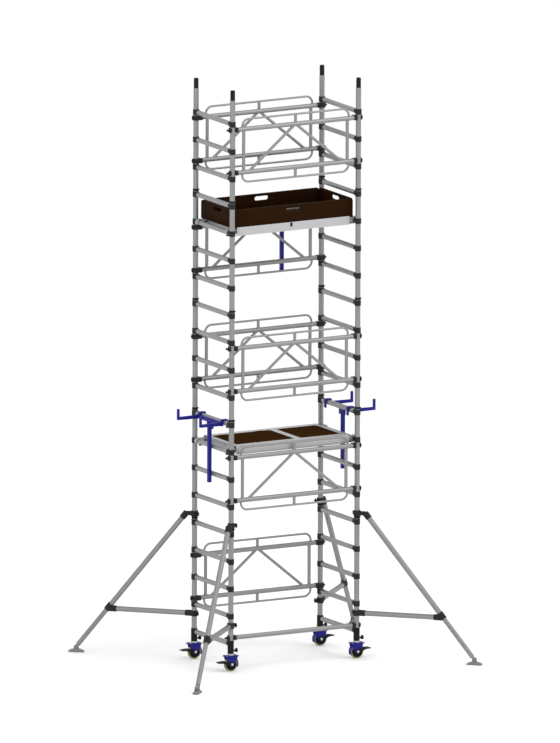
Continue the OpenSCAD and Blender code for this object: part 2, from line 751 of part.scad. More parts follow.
uprights();
rungs();
rung_sockets();
joint_spigots();
lock_rings();
base_sockets();
caster_stems();
stem_locks();
front_brace_1();
front_brace_2();
front_brace_3();
back_brace_1();
back_brace_2();
back_brace_3();
back_brace_4();
base_brace();
brace_hooks();
brace_catches();
lower_platform_frame();
upper_platform_frame();
lower_deck_panel();
upper_deck_panel();
lower_trapdoor();
upper_trapdoor();
trapdoor_hinges();
platform_hooks();
wind_locks();
platform_rivets();
toe_boards();
left_bracket();
right_bracket();
back_bracket();
caster_1_fork();
caster_2_fork();
caster_3_fork();
caster_4_fork();
caster_1_wheel();
caster_2_wheel();
caster_3_wheel();
caster_4_wheel();
caster_1_pedal();
caster_2_pedal();
caster_3_pedal();
caster_4_pedal();
stabiliser_1_clamps();
stabiliser_2_clamps();
stabiliser_3_clamps();
stabiliser_4_clamps();
stabiliser_1_tubes();
stabiliser_2_tubes();
stabiliser_3_tubes();
stabiliser_4_tubes();
stabiliser_1_extension();
stabiliser_2_extension();
stabiliser_3_extension();
stabiliser_4_extension();
stabiliser_1_foot();
stabiliser_2_foot();
stabiliser_3_foot();
stabiliser_4_foot();
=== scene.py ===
# %% [markdown]
# # A mobile tower scaffold
# This lesson dresses a finished mechanical model. The frame is already exact: every tube, casting,
# deck and wheel stands where it should, and turns about the right axis. What is left is what makes a
# catalogue picture: the finish of each metal, rounded castings, moulded knobs, weld beads, tyres and
# the light.
#
# The frame is loaded first. Nothing in it is moved.

# %% Load the frame
import json
import math

import bpy
from mathutils import Matrix, Vector


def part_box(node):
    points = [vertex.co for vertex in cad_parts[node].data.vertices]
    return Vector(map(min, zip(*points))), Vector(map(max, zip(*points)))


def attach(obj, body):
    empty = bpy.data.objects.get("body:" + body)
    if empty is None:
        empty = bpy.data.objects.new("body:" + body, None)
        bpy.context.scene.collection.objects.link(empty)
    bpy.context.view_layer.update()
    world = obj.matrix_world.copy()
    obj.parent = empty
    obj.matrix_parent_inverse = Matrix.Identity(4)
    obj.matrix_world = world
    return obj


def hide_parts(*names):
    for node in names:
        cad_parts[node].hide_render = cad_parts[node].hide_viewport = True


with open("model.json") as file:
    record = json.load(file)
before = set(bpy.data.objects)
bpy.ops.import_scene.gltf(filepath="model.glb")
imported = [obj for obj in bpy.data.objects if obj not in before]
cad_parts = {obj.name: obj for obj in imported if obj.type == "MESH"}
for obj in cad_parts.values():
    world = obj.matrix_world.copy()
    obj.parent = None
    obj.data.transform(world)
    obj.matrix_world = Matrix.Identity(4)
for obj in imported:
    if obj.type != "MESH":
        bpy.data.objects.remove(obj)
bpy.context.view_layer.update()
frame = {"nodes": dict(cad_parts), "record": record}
NODES = frame["nodes"]

# %% [markdown]
# ## Camera
# Catalogue pictures of tall things are taken from far away with a long lens, so that uprights stay
# parallel. An orthographic camera does the same with no distance to choose. It stands to the left
# of the front, a little above the horizon, and turns a fifth of a degree about its own axis.

# %% Camera
AZIMUTH, ELEVATION, ROLL = (math.radians(a) for a in (-29.25, 11.02, 0.21))
VIEW_HEIGHT = 6.672          # metres that the picture's long side shows
AIM_HEIGHT = 2.623           # height of the picture's centre on the tower's axis
AIM_SIDEWAYS = 0.033         # how far the picture's centre is to the right of that axis
DISTANCE = 20                # only has to clear the model, since the view has no perspective

back = Vector((
    math.sin(AZIMUTH) * math.cos(ELEVATION),
    -math.cos(AZIMUTH) * math.cos(ELEVATION),
    math.sin(ELEVATION),
))
sideways = Vector((math.cos(AZIMUTH), math.sin(AZIMUTH), 0))
bpy.ops.object.select_all(action="DESELECT")
bpy.ops.object.camera_add()
camera = bpy.context.object
camera.name = "camera"
camera.data.type = "ORTHO"
camera.data.ortho_scale = VIEW_HEIGHT
camera.data.clip_end = 3 * DISTANCE
camera.rotation_mode = "QUATERNION"
roll = Matrix.Rotation(ROLL, 3, "Z").to_quaternion()
camera.rotation_quaternion = back.to_track_quat("Z", "Y") @ roll
camera.location = Vector((0, 0, AIM_HEIGHT)) + sideways * AIM_SIDEWAYS + back * DISTANCE
bpy.context.scene.camera = camera
print("camera looks along", [round(-c, 3) for c in back])

# %% [markdown]
# ## Floor and light
# A white floor and a white surround give the even light of a catalogue picture. Bare metal shows
# whatever surrounds it, so the lamps stay weak and large: a strong lamp would burn a white line along
# every tube. The Standard view keeps whites white, where the default view would grey them.

# %% Floor and light
FLOOR_SIZE = 60
FLOOR_DROP = 0.0005          # a hair below the tyres, so that the two surfaces never coincide
FLOOR_WHITE = (0.96, 0.96, 0.96, 1)
SURROUND_STRENGTH = 1.04
bpy.ops.mesh.primitive_plane_add(size=FLOOR_SIZE, location=(0, 0, -FLOOR_DROP))
floor = bpy.context.object
floor.name = "studio_floor"
floor_finish = bpy.data.materials.new("studio_floor")
floor_finish.use_nodes = True
floor_shader = floor_finish.node_tree.nodes["Principled BSDF"]
floor_shader.inputs["Base Color"].default_value = FLOOR_WHITE
floor_shader.inputs["Roughness"].default_value = 0.9
floor.data.materials.append(floor_finish)

world = bpy.data.worlds.new("studio")
bpy.context.scene.world = world
world.use_nodes = True
surround = world.node_tree.nodes["Background"]
surround.inputs["Color"].default_value = (1, 1, 1, 1)
surround.inputs["Strength"].default_value = SURROUND_STRENGTH
bpy.context.scene.view_settings.view_transform = "Standard"


def soft_lamp(name, place, aim, size, power):
    """A square area lamp at a place, turned towards a point."""
    bpy.ops.object.light_add(type="AREA", location=place)
    lamp = bpy.context.object
    lamp.name = name
    lamp.data.size = size
    lamp.data.energy = power
    lamp.rotation_mode = "QUATERNION"
    lamp.rotation_quaternion = (Vector(place) - Vector(aim)).to_track_quat("Z", "Y")
    return lamp


soft_lamp("key_lamp", (5.0, -6.0, 11.0), (0, 0, 2.2), 6.0, 420)
soft_lamp("fill_lamp", (-8.0, -5.0, 6.0), (0, 0, 2.5), 5.0, 120)
print("two soft lamps and a white surround")

# %% [markdown]
# ## Finishes
# Every finish is built from nodes that read Object coordinates. The model's pieces all sit at the
# origin, so one pattern runs straight through them in real metres, and nothing slides when a joint
# moves. Each finish has three parts: a colour that drifts a little, a roughness that drifts with it,
# and a fine relief. Only the numbers and the direction of the grain change.

# %% A helper for finishes
STREAK_SHARE, CLOUD_SHARE = 0.6, 0.4     # how much of each noise goes into the drift
CLOUDS_PER_METRE = 3.2
NOISE_LOW, NOISE_HIGH = 0.3, 0.7         # most of a noise lies between these two


def shade(name, base, metallic, roughness, grain=(40, 40, 40), drift=0.12, rough_drift=0.1,
          relief=0.0004, coat=0.0, gloss=0.5):
    """A finish whose colour and roughness drift with a stretched noise, over a fine relief."""
    finish = bpy.data.materials.new(name)
    finish.use_nodes = True
    tree = finish.node_tree
    shader = tree.nodes["Principled BSDF"]
    shader.inputs["Metallic"].default_value = metallic
    shader.inputs["Coat Weight"].default_value = coat
    shader.inputs["Specular IOR Level"].default_value = gloss
    place = tree.nodes.new("ShaderNodeTexCoord")
    stretch = tree.nodes.new("ShaderNodeMapping")
    stretch.inputs["Scale"].default_value = grain
    tree.links.new(place.outputs["Object"], stretch.inputs["Vector"])
    streaks = tree.nodes.new("ShaderNodeTexNoise")
    streaks.inputs["Scale"].default_value = 1.0
    streaks.inputs["Detail"].default_value = 6.0
    tree.links.new(stretch.outputs["Vector"], streaks.inputs["Vector"])
    clouds = tree.nodes.new("ShaderNodeTexNoise")
    clouds.inputs["Scale"].default_value = CLOUDS_PER_METRE
    clouds.inputs["Detail"].default_value = 3.0
    tree.links.new(place.outputs["Object"], clouds.inputs["Vector"])
    both = tree.nodes.new("ShaderNodeMath")
    both.operation = "MULTIPLY_ADD"
    both.inputs[1].default_value = STREAK_SHARE
    tree.links.new(streaks.outputs["Fac"], both.inputs[0])
    weaker = tree.nodes.new("ShaderNodeMath")
    weaker.operation = "MULTIPLY"
    weaker.inputs[1].default_value = CLOUD_SHARE
    tree.links.new(clouds.outputs["Fac"], weaker.inputs[0])
    tree.links.new(weaker.outputs["Value"], both.inputs[2])

    colour = tree.nodes.new("ShaderNodeValToRGB")
    dark, light = colour.color_ramp.elements
    dark.position, light.position = NOISE_LOW, NOISE_HIGH
    dark.color = (*[c * (1 - drift) for c in base], 1)
    light.color = (*[min(1, c * (1 + drift)) for c in base], 1)
    tree.links.new(both.outputs["Value"], colour.inputs["Fac"])
    tree.links.new(colour.outputs["Color"], shader.inputs["Base Color"])

    rough = tree.nodes.new("ShaderNodeMapRange")
    rough.inputs["From Min"].default_value = NOISE_LOW
    rough.inputs["From Max"].default_value = NOISE_HIGH
    rough.inputs["To Min"].default_value = max(0.05, roughness - rough_drift)
    rough.inputs["To Max"].default_value = min(1, roughness + rough_drift)
    tree.links.new(both.outputs["Value"], rough.inputs["Value"])
    tree.links.new(rough.outputs["Result"], shader.inputs["Roughness"])

    bump = tree.nodes.new("ShaderNodeBump")
    bump.inputs["Strength"].default_value = 1.0
    bump.inputs["Distance"].default_value = relief
    tree.links.new(streaks.outputs["Fac"], bump.inputs["Height"])
    tree.links.new(bump.outputs["Normal"], shader.inputs["Normal"])
    return finish


# %% [markdown]
# ## Bare aluminium tube
# Scaffold tube is drawn through a die, so its grain runs along its length: the noise is squeezed
# across the tube and stretched along it. The uprights are given a little darker colour than the rungs.

# %% Aluminium finishes
ALONG_X, ALONG_Y, ALONG_Z = (6, 500, 500), (500, 6, 500), (500, 500, 6)
upright_finish = shade("upright_tube", (0.265, 0.265, 0.268), 0.7, 0.46, ALONG_Z, 0.12)
rung_finish = shade("rung_tube", (0.30, 0.30, 0.303), 0.7, 0.46, ALONG_Y, 0.10)
brace_finish = shade("brace_tube", (0.27, 0.27, 0.273), 0.7, 0.50, ALONG_X, 0.10)
frame_finish = shade("platform_frame", (0.46, 0.46, 0.47), 0.6, 0.48, ALONG_X, 0.08)
stabiliser_finish = shade("stabiliser_tube", (0.25, 0.25, 0.253), 0.7, 0.48, (90, 90, 30), 0.10)
hook_finish = shade("hook_casting", (0.36, 0.36, 0.355), 0.5, 0.55, (160, 160, 160), 0.15)
zinc_finish = shade("zinc", (0.56, 0.56, 0.58), 0.85, 0.32, (60, 60, 60), 0.15)

# %% [markdown]
# ## Castings, mouldings and powder coat
# The castings are powder coated dark grey with a fine orange peel. The mouldings are black nylon,
# and the stabiliser feet are mid grey. The blue of the brackets and casters is a thicker powder
# coat, with a thin gloss over it.

# %% Coated finishes
casting_finish = shade("casting", (0.013, 0.013, 0.014), 0.0, 0.6, (300, 300, 300), 0.25, 0.1,
                       0.0003, gloss=0.2)
black_finish = shade("black_part", (0.008, 0.008, 0.009), 0.0, 0.55, (240, 240, 240), 0.3, 0.1,
                     0.0002, gloss=0.12)
blue_finish = shade("blue_steel", (0.012, 0.010, 0.185), 0.0, 0.45, (260, 260, 260), 0.15, 0.06,
                    0.0002, coat=0.05, gloss=0.14)
tyre_finish = shade("wheel_tyre", (0.20, 0.20, 0.085), 0.0, 0.6, (120, 120, 120), 0.2, gloss=0.2)
core_finish = shade("wheel_core", (0.006, 0.006, 0.007), 0.0, 0.5, (120, 120, 120), 0.25,
                    gloss=0.12)
foot_finish = shade("foot", (0.20, 0.20, 0.202), 0.3, 0.55, (150, 150, 150), 0.2, gloss=0.4)
print(len(bpy.data.materials), "finishes so far")

# %% [markdown]
# ## Dressing the nodes that stay
# The tubes, decks and extrusions already have their true shape, so they keep it and only take a
# finish. One small function swaps the material in each node's slots.

# %% Dress the frame's own nodes
def dress(finish, *names):
    """Puts one finish on nodes of the frame."""
    for name in names:
        node = NODES[name]
        node.data.materials.clear()
        node.data.materials.append(finish)


dress(upright_finish, "uprights")
dress(rung_finish, "rungs")
dress(brace_finish, "base_brace", "front_brace_1", "front_brace_2", "front_brace_3",
      "back_brace_1", "back_brace_2", "back_brace_3", "back_brace_4")
dress(frame_finish, "lower_platform_frame", "upper_platform_frame")
for corner in range(1, 5):
    dress(stabiliser_finish, f"stabiliser_{corner}_tubes", f"stabiliser_{corner}_extension")

# %% [markdown]
# ## Phenolic plywood
# Scaffold decks are birch plywood under a dark brown phenolic film. The film on the walking side is
# pressed with a fine mesh that gives grip. The mesh is two crossed waves. The film is matt, since
# any gloss would mirror the white surround at the low angle that a deck is seen from.

# %% Plywood finish
MESH_PITCH = 0.006
WAVE_SCALE = math.pi / 20 / MESH_PITCH   # the wave node's scale that repeats at that pitch


def phenolic(name, base, mesh_depth, gloss):
    """Dark film faced plywood; mesh_depth is the height of the pressed mesh."""
    finish = shade(name, base, 0.0, 0.6, (9, 60, 60), 0.2, 0.08, 0.0001, gloss=gloss)
    tree = finish.node_tree
    shader = tree.nodes["Principled BSDF"]
    place = tree.nodes["Texture Coordinate"]
    mesh = None
    for direction in ("X", "Y"):
        wave = tree.nodes.new("ShaderNodeTexWave")
        wave.bands_direction = direction
        wave.inputs["Scale"].default_value = WAVE_SCALE
        tree.links.new(place.outputs["Object"], wave.inputs["Vector"])
        if mesh is None:
            mesh = wave.outputs["Fac"]
            continue
        ridge = tree.nodes.new("ShaderNodeMath")
        ridge.operation = "MAXIMUM"
        tree.links.new(mesh, ridge.inputs[0])
        tree.links.new(wave.outputs["Fac"], ridge.inputs[1])
        mesh = ridge.outputs["Value"]
    press = tree.nodes.new("ShaderNodeBump")
    press.inputs["Distance"].default_value = mesh_depth
    tree.links.new(mesh, press.inputs["Height"])
    tree.links.new(tree.nodes["Bump"].outputs["Normal"], press.inputs["Normal"])
    tree.links.new(press.outputs["Normal"], shader.inputs["Normal"])
    return finish


deck_finish = phenolic("deck_ply", (0.037, 0.0163, 0.0048), 0.0006, 0.0)
board_finish = phenolic("toe_board_ply", (0.018, 0.0060, 0.0010), 0.0002, 0.03)
dress(deck_finish, "lower_deck_panel", "upper_deck_panel", "lower_trapdoor", "upper_trapdoor")
print("decks dressed")

# %% [markdown]
# ## Shaping helpers
# The frame's castings and hooks have the right size but knife-sharp rims, which no casting has. The
# rim of a real one is rounded by a millimetre or two, and that thin band is what catches the light.
# Blender's bevel does this well, so each such node is copied, its loose triangles are welded, its
# flat faces are merged, and its sharp edges are bevelled. The copy then stands for the node.

# %% Helpers for copies, plates and hand-over
RECORD = frame["record"]
BODY = {node: body for body, nodes in RECORD["behaviour"]["bodies"].items() for node in nodes}
SLOT = {part["node"]: part["material_slot"] for part in RECORD["subparts"]}
JOINT = {joint["name"]: joint for joint in RECORD["behaviour"]["joints"]}
WELD_GAP = 0.00001                       # points nearer than this are one point
FLAT_ANGLE = math.radians(1)             # faces that meet flatter than this are one face
SHARP_ANGLE = math.radians(35)           # an edge sharper than this is a real edge
SMOOTH_ANGLE = math.radians(40)          # wide enough to shade smoothly over a bevel's bands


def only(piece):
    """Selects one piece alone and makes it active."""
    bpy.ops.object.select_all(action="DESELECT")
    piece.select_set(True)
    bpy.context.view_layer.objects.active = piece


def new_piece(name, mesh):
    """Puts a mesh in the scene as a piece at the origin."""
    piece = bpy.data.objects.new(name, mesh)
    bpy.context.collection.objects.link(piece)
    only(piece)
    return piece


def round_edges(piece, width, segments=2):
    """Bevels every sharp edge, then shades the piece smooth."""
    only(piece)
    bevel = piece.modifiers.new("rounded", "BEVEL")
    bevel.width = width
    bevel.segments = segments
    bevel.limit_method = "ANGLE"
    bevel.angle_limit = SHARP_ANGLE
    bevel.use_clamp_overlap = False
    bpy.ops.object.modifier_apply(modifier="rounded")
    bpy.ops.object.shade_smooth_by_angle(angle=SMOOTH_ANGLE)
    return piece


def welded_copy(node, name):
    """A copy of a frame node with its triangles welded and its flat faces merged."""
    piece = new_piece(name, NODES[node].data.copy())
    bpy.ops.object.mode_set(mode="EDIT")
    bpy.ops.mesh.select_all(action="SELECT")
    bpy.ops.mesh.remove_doubles(threshold=WELD_GAP)
    bpy.ops.mesh.customdata_custom_splitnormals_clear()
    bpy.ops.mesh.dissolve_limited(angle_limit=FLAT_ANGLE)
    bpy.ops.object.mode_set(mode="OBJECT")
    return piece


def hand_over(piece, finish, body, slot, *nodes):
    """Gives a finished piece its material and its body, and hides the nodes that it stands for; slot is
    not used.
    """
    piece.data.materials.clear()
    piece.data.materials.append(finish)
    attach(piece, body)
    if nodes:
        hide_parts(*nodes)


def placed_copy(master, name, matrix):
    """A copy with its own mesh, put in place by moving the mesh's points."""
    mesh = master.data.copy()
    mesh.transform(matrix)
    return new_piece(name, mesh)


def join(name, pieces):
    """Makes one piece of several."""
    only(pieces[0])
    for piece in pieces[1:]:
        piece.select_set(True)
    bpy.ops.object.join()
    pieces[0].name = name
    return pieces[0]


def plate(name, outline, near, far, edge=0.0008):
    """A plate cut to an outline in X and Z, from Y near to Y far, with rounded edges."""
    mesh = bpy.data.meshes.new(name)
    mesh.from_pydata([(x, near, z) for x, z in outline], [], [tuple(range(len(outline)))])
    piece = new_piece(name, mesh)
    bpy.ops.object.mode_set(mode="EDIT")
    bpy.ops.mesh.select_all(action="SELECT")
    bpy.ops.mesh.extrude_region_move(TRANSFORM_OT_translate={"value": (0, far - near, 0)})
    bpy.ops.mesh.select_all(action="SELECT")
    bpy.ops.mesh.normals_make_consistent(inside=False)
    bpy.ops.object.mode_set(mode="OBJECT")
    return round_edges(piece, edge) if edge else piece


def arc(x, z, radius, start, end, steps):
    """Points of an arc in X and Z, angles in degrees."""
    turns = [math.radians(start + (end - start) * k / steps) for k in range(steps + 1)]
    return [(x + radius * math.cos(t), z + radius * math.sin(t)) for t in turns]


# %% [markdown]
# ## Rounded castings, hooks and brackets
# One loop rounds everything that is cast, forged, moulded or welded from bar. The width of the
# rounding is the only thing that differs: wide on moulded plastic and toe boards, thin on bar.

# %% Round the nodes that keep their shape
ROUNDED = {
    "rung_sockets": (casting_finish, 0.0012),
    "brace_hooks": (casting_finish, 0.0016),
    "base_sockets": (black_finish, 0.0014),
    "joint_spigots": (black_finish, 0.0010),
    "lock_rings": (black_finish, 0.0016),
    "stem_locks": (black_finish, 0.0020),
    "brace_catches": (black_finish, 0.0016),
    "wind_locks": (black_finish, 0.0014),
    "platform_hooks": (hook_finish, 0.0020),
    "trapdoor_hinges": (zinc_finish, 0.0004),
    "caster_stems": (zinc_finish, 0.0012),
    "platform_rivets": (frame_finish, 0.0003),
    "toe_boards": (board_finish, 0.0025),
}
for corner in range(1, 5):
    ROUNDED[f"stabiliser_{corner}_clamps"] = (casting_finish, 0.0018)
    ROUNDED[f"stabiliser_{corner}_foot"] = (foot_finish, 0.0016)

COLLAR_R = 0.0326                         # of a stabiliser clamp; its plain wing bar lies beyond


def drop_wing_bars(piece, axis):
    """Takes the wing bars off a clamp, because a moulded knob is made for it further on."""
    side = Vector((-math.copysign(1, axis.x), -math.copysign(1, axis.y), 0)).normalized()
    bpy.ops.object.mode_set(mode="EDIT")
    bpy.ops.mesh.select_all(action="DESELECT")
    bpy.ops.object.mode_set(mode="OBJECT")
    for point in piece.data.vertices:
        point.select = (point.co - axis).dot(side) > COLLAR_R
    bpy.ops.object.mode_set(mode="EDIT")
    bpy.ops.mesh.delete(type="VERT")
    bpy.ops.object.mode_set(mode="OBJECT")


for node, (finish, width) in ROUNDED.items():
    fine = 1 if node in ("rung_sockets", "platform_rivets") else 2
    copied = welded_copy(node, node + "_rounded")
    if node.endswith("_clamps"):
        drop_wing_bars(copied, Vector(JOINT[node.replace("_clamps", "_swing")]["pos_m"]))
    piece = round_edges(copied, width, fine)
    hand_over(piece, finish, BODY[node], SLOT[node], node)
    print(node, len(piece.data.polygons), "faces")

# %% [markdown]
# ## Casters
# Each caster is a pressed steel fork under a bolted plate, a ball race, a hood over the back of the
# wheel, a rubber tyre on a spoked core, and a two-armed brake pedal. One is modelled at the origin
# of the wheel's axle with its pedal towards +X, and then copied to the four corners.

# %% Caster sizes
low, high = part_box("caster_2_wheel")
WHEEL_R = (high.z - low.z) / 2
TYRE_W = 0.032
CORE_R = 0.053
PLATE_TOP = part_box("caster_2_fork")[1].z - WHEEL_R    # above the axle
PLATE_T = 0.009
CHEEK = (0.019, 0.024)                   # distance of a cheek's two faces from the wheel's middle
ARM = (0.0243, 0.0293)                   # the same for a pedal arm
CHEEK_TOP = PLATE_TOP - PLATE_T - 0.0001
print("wheel", round(2000 * WHEEL_R), "mm, plate", round(1000 * PLATE_TOP), "mm above the axle")


def lathe(name, profile, steps=56):
    """A turned part: a profile of (radius, y) points spun round the Y axis."""
    mesh = bpy.data.meshes.new(name)
    steps_along = [(k, k + 1) for k in range(len(profile) - 1)]
    mesh.from_pydata([(r, y, 0) for r, y in profile], steps_along, [])
    piece = new_piece(name, mesh)
    bpy.ops.object.mode_set(mode="EDIT")
    bpy.ops.mesh.select_all(action="SELECT")
    bpy.ops.mesh.spin(steps=steps, angle=2 * math.pi, center=(0, 0, 0), axis=(0, 1, 0))
    bpy.ops.mesh.select_all(action="SELECT")
    bpy.ops.mesh.remove_doubles(threshold=WELD_GAP)
    bpy.ops.mesh.normals_make_consistent(inside=False)
    bpy.ops.object.mode_set(mode="OBJECT")
    bpy.ops.object.shade_smooth_by_angle(angle=SHARP_ANGLE)
    return piece


def disc(name, radius, near, far, steps):
    """A plain cylinder along Y."""
    return lathe(name, [(0, near), (radius, near), (radius, far), (0, far)], steps)


# %% [markdown]
# The tyre and the core are turned shapes, so their half profile is drawn once and spun. The core is
# dished on both sides and carries six ribs and a hub that reaches the fork's cheeks.

# %% Wheel
HALF = TYRE_W / 2
tyre_master = lathe("tyre", [
    (CORE_R, -HALF + 0.003), (CORE_R + 0.001, -HALF + 0.001), (CORE_R + 0.003, -HALF),
    (WHEEL_R - 0.006, -HALF), (WHEEL_R - 0.002, -HALF + 0.002), (WHEEL_R - 0.0005, -HALF + 0.006),
    (WHEEL_R, 0), (WHEEL_R - 0.0005, HALF - 0.006), (WHEEL_R - 0.002, HALF - 0.002),
    (WHEEL_R - 0.006, HALF), (CORE_R + 0.003, HALF), (CORE_R + 0.001, HALF - 0.001),
    (CORE_R, HALF - 0.003), (CORE_R, -HALF + 0.003),
])
HUB_R, HUB_Y, DISH_Y, RIM_Y = 0.015, 0.0187, 0.006, HALF - 0.0015
half_core = [
    (0, HUB_Y), (HUB_R - 0.001, HUB_Y), (HUB_R, HUB_Y - 0.001), (HUB_R + 0.001, DISH_Y),
    (CORE_R - 0.010, DISH_Y), (CORE_R - 0.007, RIM_Y), (CORE_R - 0.0012, RIM_Y),
    (CORE_R - 0.0004, HALF - 0.004),
]
core_parts = [lathe("core", half_core + [(r, -y) for r, y in reversed(half_core)])]
RIB_COUNT, RIB_HALF_T, RIB_HALF_Y = 6, 0.0022, RIM_Y - 0.002
RIB_FROM, RIB_TO = HUB_R - 0.002, CORE_R - 0.006
rib_master = plate("rib", [
    (RIB_FROM, -RIB_HALF_T), (RIB_TO, -RIB_HALF_T), (RIB_TO, RIB_HALF_T), (RIB_FROM, RIB_HALF_T),
], -RIB_HALF_Y, RIB_HALF_Y)
for k in range(RIB_COUNT):
    turn = Matrix.Rotation(2 * math.pi * k / RIB_COUNT, 4, "Y")
    core_parts.append(placed_copy(rib_master, "rib_copy", turn))
bpy.data.objects.remove(rib_master)
core_master = join("core", core_parts)
print("wheel:", len(tyre_master.data.polygons), "+", len(core_master.data.polygons), "faces")

# %% [markdown]
# The fork's cheeks hang from the plate and taper down to the axle. The hood is an arc in side view.
# The hexagons are bolt heads, and the race is the ring that the fork turns on.

# %% Fork
def hexagon(name, width, near, far):
    """A hexagonal head along Y; width is measured across its flats."""
    return plate(name, arc(0, 0, width / math.sqrt(3), 0, 300, 5), near, far, edge=0.0006)


CHEEK_FOOT = 0.027
cheek_outline = (
    [(-0.058, CHEEK_TOP), (-0.060, CHEEK_TOP - 0.016), (-0.034, 0.004)]
    + arc(0, 0, CHEEK_FOOT, 190, 350, 14)
    + [(0.034, 0.004), (0.052, CHEEK_TOP - 0.022), (0.058, CHEEK_TOP)]
)
HOOD_IN, HOOD_OUT = WHEEL_R + 0.004, WHEEL_R + 0.0075
hood_outline = arc(0, 0, HOOD_OUT, 110, 204, 22) + arc(0, 0, HOOD_IN, 204, 110, 22)
PLATE_HALF_L, PLATE_HALF_W, PLATE_CUT = 0.069, 0.040, 0.013
plate_outline = [
    (-PLATE_HALF_L + PLATE_CUT, -PLATE_HALF_W), (PLATE_HALF_L - PLATE_CUT, -PLATE_HALF_W),
    (PLATE_HALF_L, -PLATE_HALF_W + PLATE_CUT), (PLATE_HALF_L, PLATE_HALF_W - PLATE_CUT),
    (PLATE_HALF_L - PLATE_CUT, PLATE_HALF_W), (-PLATE_HALF_L + PLATE_CUT, PLATE_HALF_W),
    (-PLATE_HALF_L, PLATE_HALF_W - PLATE_CUT), (-PLATE_HALF_L, -PLATE_HALF_W + PLATE_CUT),
]
LAY_DOWN = Matrix.Rotation(math.radians(90), 4, "X")    # turns a part drawn along Y to lie along Z
fork_parts = [
    plate("cheek", cheek_outline, CHEEK[0], CHEEK[1], edge=0.0012),
    plate("cheek", cheek_outline, -CHEEK[1], -CHEEK[0], edge=0.0012),
    plate("hood", hood_outline, -CHEEK[0] + 0.0001, CHEEK[0] - 0.0001, edge=0.0009),
]
top_plate = plate("top", plate_outline, PLATE_TOP - PLATE_T, PLATE_TOP, edge=0.0015)
top_plate.data.transform(LAY_DOWN)
race = lathe("race", [
    (0, -0.007), (0.031, -0.007), (0.034, -0.004), (0.034, 0.002), (0.031, 0.0045), (0, 0.0045),
])
race.data.transform(Matrix.Translation((0, 0, CHEEK_TOP - 0.004)) @ LAY_DOWN)
RACE_SQUEEZE = 0.55                      # the race is narrowed to fit between the cheeks
race.data.transform(Matrix.Diagonal((1, RACE_SQUEEZE, 1, 1)))
fork_parts += [top_plate, race]
fork_master = join("fork", fork_parts)

NUT_FLATS, NUT_Y = 0.019, (0.0296, 0.0363)              # on the axle's ends, outside the pedal arms
WASHER_R, WASHER_Y = 0.0125, (0.0295, 0.0312)
BOLT_FLATS, BOLT_H, BOLT_X, BOLT_Y = 0.013, 0.0055, 0.050, 0.027
nut_parts = []
for side in (-1, 1):
    nut_near, nut_far = sorted(side * y for y in NUT_Y)
    washer_near, washer_far = (side * y for y in WASHER_Y)
    nut_parts += [hexagon("nut", NUT_FLATS, nut_near, nut_far),
                  disc("washer", WASHER_R, washer_near, washer_far, 32)]
for x in (-BOLT_X, BOLT_X):
    for y in (-BOLT_Y, BOLT_Y):
        bolt = hexagon("bolt", BOLT_FLATS, PLATE_TOP, PLATE_TOP + BOLT_H)
        bolt.data.transform(Matrix.Translation((x, y, 0)) @ LAY_DOWN)
        nut_parts.append(bolt)
nut_master = join("nuts", nut_parts)
heights = [point.co.z for point in fork_master.data.vertices]
print("fork from", round(1000 * min(heights)), "to", round(1000 * max(heights)), "mm about the axle")

# %% [markdown]
# The brake pedal has an arm on each side of the fork, and a ribbed tread between them that a boot
# presses down. The tread's ribs are one small bar, copied.

# %% Pedal
TREAD_X, TREAD_TOP, PEDAL_TIP, PEDAL_HUB = 0.076, 0.030, 0.1375, 0.023
GRIP_COUNT, GRIP_PITCH, GRIP_T, GRIP_SLOPE = 6, 0.009, 0.003, 0.0065
arm_outline = (
    arc(0, 0, PEDAL_HUB, 75, 285, 16)
    + [(0.034, -0.008), (TREAD_X, 0.012), (TREAD_X + 0.004, TREAD_TOP), (0.050, 0.028)]
)
tread_outline = [
    (TREAD_X - 0.004, 0.012), (0.100, 0.0155), (0.122, 0.0165), (PEDAL_TIP, 0.0185),
    (PEDAL_TIP, 0.0235), (0.122, 0.0265), (0.100, 0.0285), (TREAD_X - 0.004, TREAD_TOP),
]
pedal_parts = [
    plate("arm", arm_outline, ARM[0], ARM[1], edge=0.0010),
    plate("arm", arm_outline, -ARM[1], -ARM[0], edge=0.0010),
    plate("tread", tread_outline, -ARM[1], ARM[1], edge=0.0020),
]
for k in range(GRIP_COUNT):
    x = TREAD_X + 0.006 + GRIP_PITCH * k
    top = TREAD_TOP - GRIP_SLOPE * (x - TREAD_X) / (PEDAL_TIP - TREAD_X)
    grip_outline = [(x, top - GRIP_T), (x + GRIP_T, top - GRIP_T), (x + GRIP_T, top), (x, top)]
    pedal_parts.append(plate("grip", grip_outline, -ARM[0] + 0.003, ARM[0] - 0.003, edge=0.0006))
pedal_master = join("pedal", pedal_parts)

# %% [markdown]
# The tower's own axles say where each caster goes. The pedals point away from the middle, so the
# casters at negative X are turned half round. Tyre and core ride on the wheel's body, nuts and bolts
# on the fork's.

# %% Four casters
for corner in range(1, 5):
    hub = Vector(JOINT[f"caster_{corner}_roll"]["pos_m"])
    facing = Matrix.Rotation(math.pi if hub.x < 0 else 0, 4, "Z")
    place = Matrix.Translation(hub) @ facing
    fork, wheel, pedal = (f"caster_{corner}_{part}" for part in ("fork", "wheel", "pedal"))
    for part, master, finish, body, slot, *stood_for in (
        ("tyre", tyre_master, tyre_finish, wheel, "wheel_rubber", wheel),
        ("core", core_master, core_finish, wheel, "wheel_rubber", wheel),
        ("pressed_fork", fork_master, blue_finish, fork, "blue_steel", fork),
        ("nuts", nut_master, zinc_finish, fork, "zinc"),
        ("brake_pedal", pedal_master, black_finish, pedal, "black_part", pedal),
    ):
        piece = placed_copy(master, f"caster_{corner}_{part}", place)
        hand_over(piece, finish, body, slot, *stood_for)
for master in (tyre_master, core_master, fork_master, nut_master, pedal_master):
    bpy.data.objects.remove(master)
